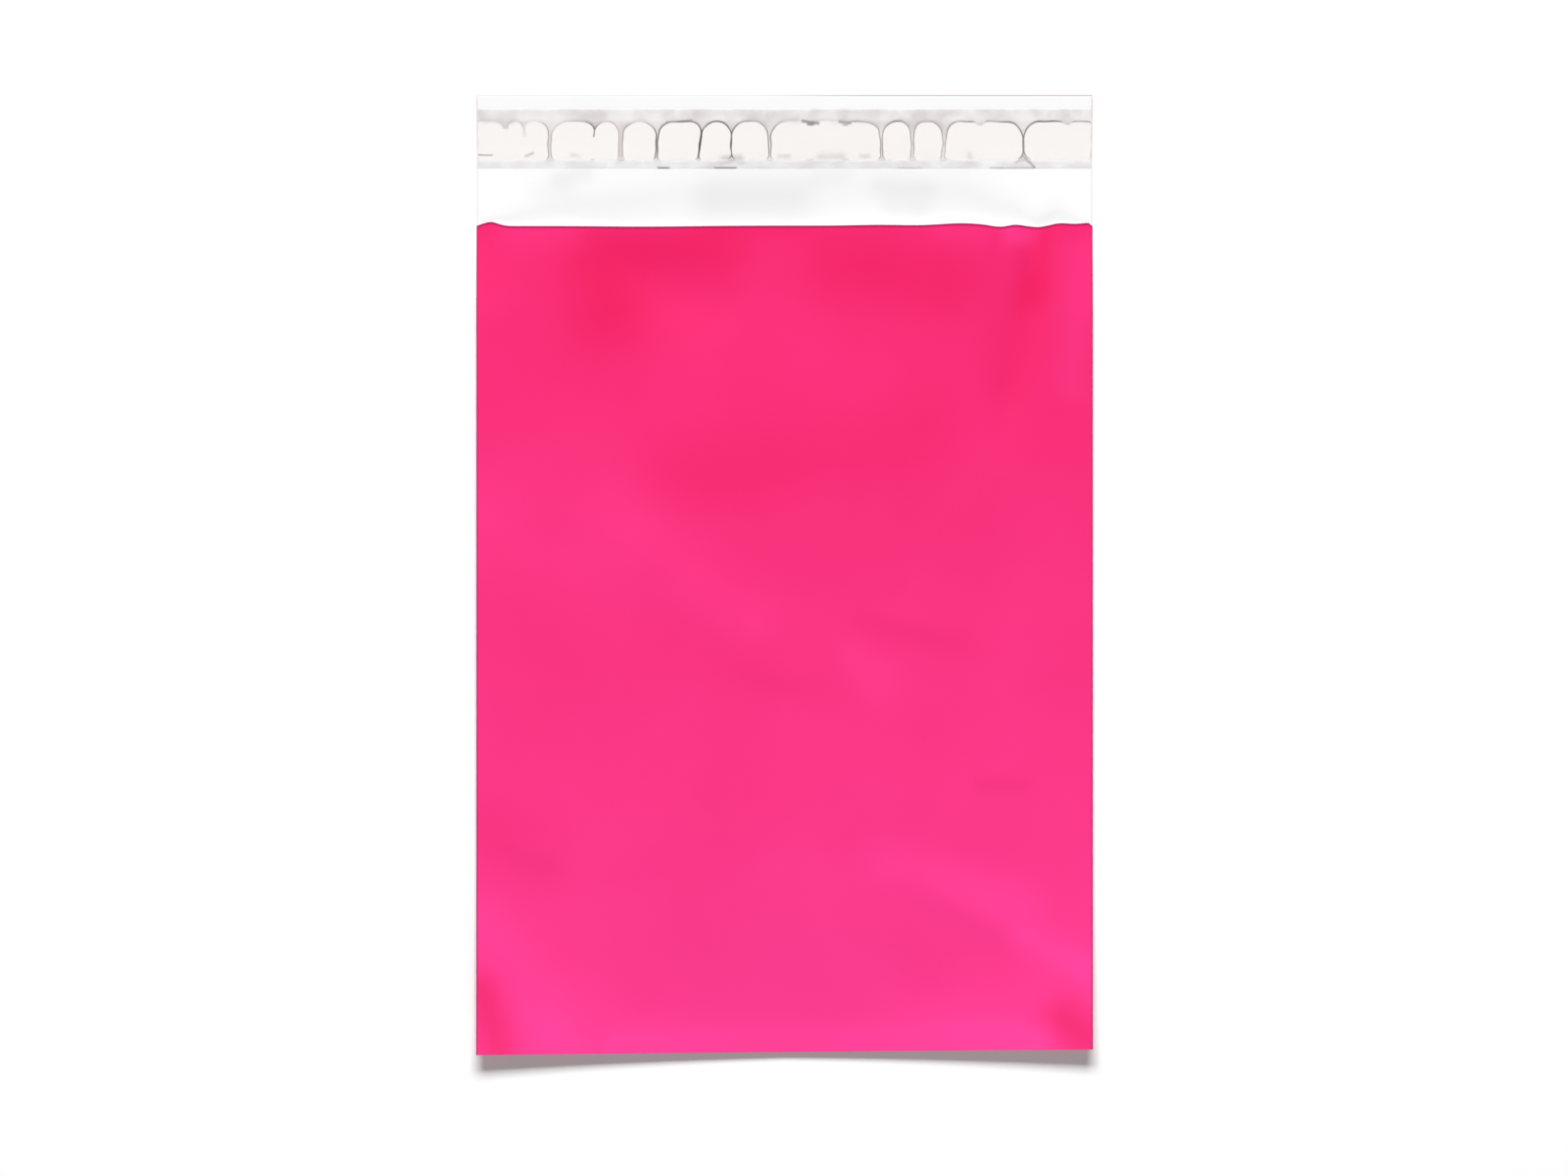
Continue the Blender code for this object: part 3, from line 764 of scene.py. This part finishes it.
def liner_state(x, y):
    """At a point of the strip: its distance outside the nearest stuck cell, and how dark the painted line of
    shade is.
    """
    in_top_half = y > CELL_MIDDLE
    nearest = math.inf
    dark = 0.0
    for left, right, top_line in zip(CELL_BOUNDS, CELL_BOUNDS[1:], CELL_TOP_LINES):
        left_x = place_on_tunnel(left, y) + left.half_gap
        right_x = place_on_tunnel(right, y) - right.half_gap
        side = left if x < (left_x + right_x) / 2 else right
        radius = side.arch_radius if in_top_half else side.foot_radius
        distance, sideways = distance_from_cell(x, y, left_x, right_x, radius)
        if distance < nearest:
            nearest = distance
            dark = sideways * side.darkness + (1 - sideways) * (top_line if in_top_half else CELL_FOOT_LINE)
    for tunnel in TUNNELS:
        if tunnel.reach < 1:
            lowest = CELL_TOP - CELL_HEIGHT * tunnel.reach
            aside = abs(x - place_on_tunnel(tunnel, y)) - BRIDGE_HALF_WIDTH
            bridge = max(aside, y - lowest, CELL_FOOT - y)
            if bridge < nearest:
                nearest = bridge
                dark = dark if bridge > -BRIDGE_LINE_WIDTH else 0.0
    return nearest, dark


def liner_noise(x, y, waves):
    """One of the liner's noises at a point, from about -1 to 1."""
    across, along, chance = waves
    return noise.noise(Vector((x * across, y * along, chance)))


def liner_lift(y, distance, patch):
    """How far the film rises from its seat, this far from a cell."""
    droop = ease((min(liner_high.y - y, y - liner_low.y) + EDGE_CLEAR) / EDGE_DROOP)
    flatness = (1 - TOP_LIFT_SHARE) * ease((y - CELL_TOP) / MARGIN_EASE)
    flatness += (1 - FOOT_LIFT_SHARE) * ease((CELL_FOOT - y) / MARGIN_EASE)
    least, gain = PATCH_LIFT
    return TUNNEL_LIFT * ease(distance / TUNNEL_RISE) * (least + gain * patch) * droop * (1 - flatness)


def marks_at(x, y):
    """Sums of the haze and of the lines of the marks near a point."""
    haze = line = 0.0
    for start, end, width, haze_share, line_share in LINER_MARKS:
        near = bell(distance_from_line(x, y, start, end), width)
        haze += near * haze_share
        line += near * line_share
    return haze, line


liner_shape = bmesh.new()
liner_columns = round((liner_high.x - liner_low.x) / LINER_STEP)
liner_rows = round((liner_high.y - liner_low.y) / LINER_STEP)
bmesh.ops.create_grid(liner_shape, x_segments=liner_columns, y_segments=liner_rows, size=1)
loose = liner_shape.verts.layers.float.new("loose")
from_cell = liner_shape.verts.layers.float.new("from_cell")
darkness = liner_shape.verts.layers.float.new("darkness")
crease = liner_shape.verts.layers.float.new("crease")
for vertex in liner_shape.verts:
    x = (liner_low.x + liner_high.x) / 2 + (liner_high.x - liner_low.x) / 2 * vertex.co.x
    y = (liner_low.y + liner_high.y) / 2 + (liner_high.y - liner_low.y) / 2 * vertex.co.y
    distance, dark = liner_state(x + WOBBLE * liner_noise(x, y, SIDE_NOISE), y)
    distance += WOBBLE * liner_noise(x, y, OUTLINE_NOISE)
    patch = 0.5 + 0.5 * liner_noise(x, y, PATCH_NOISE)
    mark_haze, mark_line = marks_at(x, y)
    zone_haze = 1.0 if y > CELL_FOOT else FOOT_HAZE
    vertex[loose] = min(1.0, ease(distance / LOOSE_RISE) * zone_haze + mark_haze)
    vertex[from_cell] = distance
    vertex[darkness] = min(1.0, dark * (PATCH_DARKNESS[0] + PATCH_DARKNESS[1] * patch))
    vertex[crease] = min(1.0, mark_line)
    vertex.co = (x, y, flap_height(y) + LINER_SEAT + liner_lift(y, distance, patch))
liner = finish_mesh(liner_shape, "peel_off_liner")
thicken(liner, LINER_FILM)

STUCK_COLOUR = (0.92, 0.89, 0.875)
LOOSE_COLOUR = (0.66, 0.60, 0.60)
PAINTED_LINE_COLOUR = (0.10, 0.075, 0.080)
LINER_ROUGHNESS = 0.25

# Fine haze in the loose film: its fineness, the noise at which it is least and full, and its least strength
HAZE_SCALE = 110
HAZE_NOISE = (0.35, 0.65)
HAZE_LEAST = 0.45

# How much the stuck and the fully loose film cover, once for each of its two faces
STUCK_COVER = 0.04
LOOSE_COVER = 0.24

# The painted line of shade round a cell: how far outside the cell its middle runs, and how far from there it
# ends and is full
CELL_LINE_OUT = 0.0001
CELL_LINE_WIDTH = (0.00036, 0.00008)

liner_material, liner_tree, liner_shader = add_shader("clear_liner_film")
haze = add_noise(liner_tree, add_place(liner_tree), HAZE_SCALE, detail=3)
haze = add_range(liner_tree, haze, *HAZE_NOISE, HAZE_LEAST, 1.0)
looseness = add_math(liner_tree, "MULTIPLY", add_attribute(liner_tree, "loose"), haze)
# Painted shade: dark lines round the cells and along the creases
from_line = add_math(liner_tree, "SUBTRACT", add_attribute(liner_tree, "from_cell"), CELL_LINE_OUT)
painted_cell_line = add_range(liner_tree, add_math(liner_tree, "ABSOLUTE", from_line), *CELL_LINE_WIDTH)
painted_cell_line = add_math(liner_tree, "MULTIPLY", painted_cell_line, add_attribute(liner_tree, "darkness"))
line = add_math(liner_tree, "MAXIMUM", painted_cell_line, add_attribute(liner_tree, "crease"))
liner_colour = add_mix(liner_tree, looseness, STUCK_COLOUR, LOOSE_COLOUR)
liner_colour = add_mix(liner_tree, line, liner_colour, PAINTED_LINE_COLOUR)
cover = add_range(liner_tree, looseness, 0.0, 1.0, STUCK_COVER, LOOSE_COVER)
cover = add_math(liner_tree, "MAXIMUM", line, cover)
liner_tree.links.new(liner_colour, liner_shader.inputs["Base Color"])
liner_tree.links.new(cover, liner_shader.inputs["Alpha"])
liner_shader.inputs["Roughness"].default_value = LINER_ROUGHNESS
liner.data.materials.append(liner_material)
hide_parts("release_liner")
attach(liner, "root")
